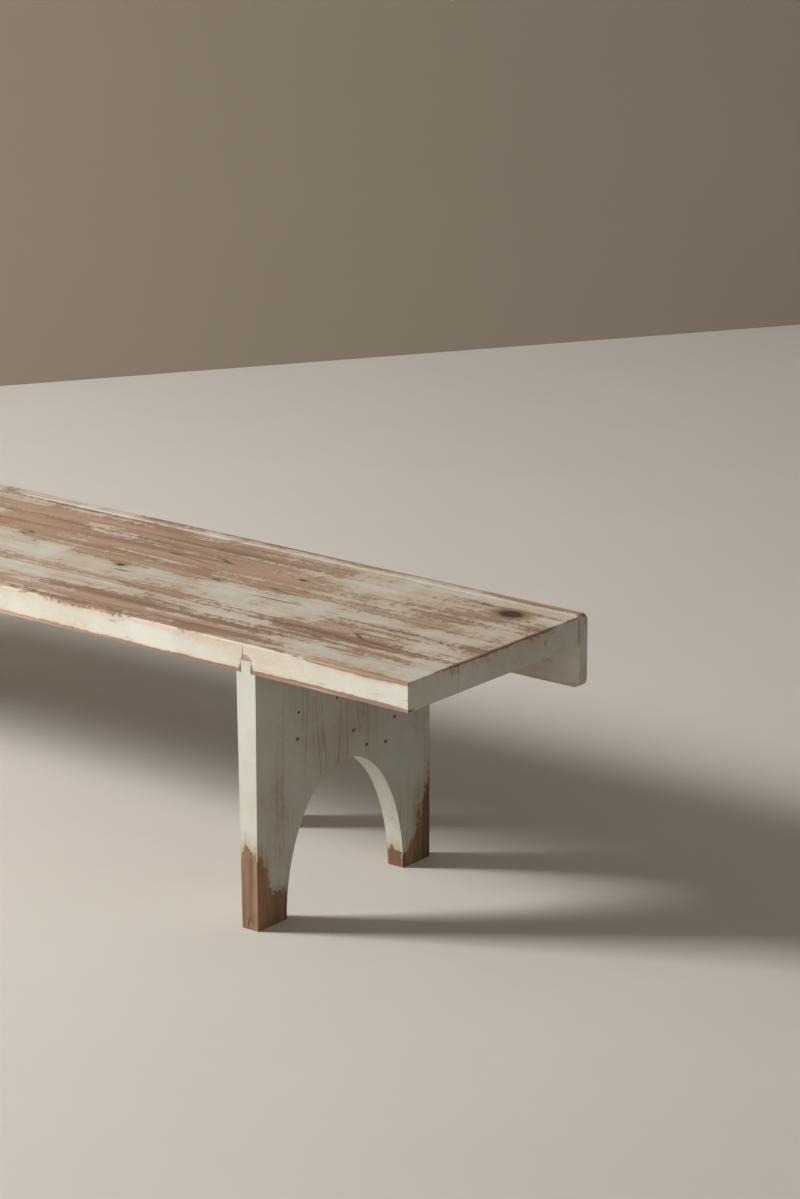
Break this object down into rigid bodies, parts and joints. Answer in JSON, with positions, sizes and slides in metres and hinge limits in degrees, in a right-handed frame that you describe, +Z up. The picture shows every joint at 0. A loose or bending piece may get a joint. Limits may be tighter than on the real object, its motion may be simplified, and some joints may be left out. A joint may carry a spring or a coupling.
{
  "type": "pull-out bench bed",
  "caption": "Long plank bench on arched plank legs, with a railed sleeping platform that slides out from under the seat.",
  "frame": {"origin": "on the floor under the middle of the closed bench", "axes": "+X along the seat, +Y towards the pull-out's rail, +Z up"},
  "size_m": [2.2, 0.4224, 0.43],
  "materials": {
    "painted_pine": "worn chalky off-white oil paint",
    "bare_pine": "aged bare pine",
    "dowel_wood": "bare hardwood",
    "wrought_iron": "dark forged iron"
  },
  "bodies": {
    "bench": {"seat_front_board": "painted_pine", "seat_back_board": "painted_pine", "seat_dowels": "dowel_wood", "right_leg_front_board": "painted_pine", "right_leg_rear_board": "painted_pine", "left_leg_front_board": "painted_pine", "left_leg_rear_board": "painted_pine", "right_leg_dowels": "dowel_wood", "left_leg_dowels": "dowel_wood", "right_ledger": "bare_pine", "left_ledger": "bare_pine", "ledger_nails": "wrought_iron", "stop_pegs": "dowel_wood"},
    "pull_out": {"rail": "painted_pine", "right_end_bearer": "bare_pine", "left_end_bearer": "bare_pine", "right_mid_bearer": "bare_pine", "left_mid_bearer": "bare_pine", "joist": "bare_pine", "platform_front_board": "bare_pine", "platform_middle_board": "bare_pine", "platform_rear_board": "bare_pine", "right_pull_leg": "painted_pine", "left_pull_leg": "painted_pine", "platform_nails": "wrought_iron", "rail_nails": "wrought_iron", "leg_pegs": "dowel_wood"}
  },
  "joints": [
    {"name": "pull_out_slide", "type": "slide", "parent": "bench", "child": "pull_out", "axis": [0, 1, 0], "range_m": [0, 0.3]}
  ]
}
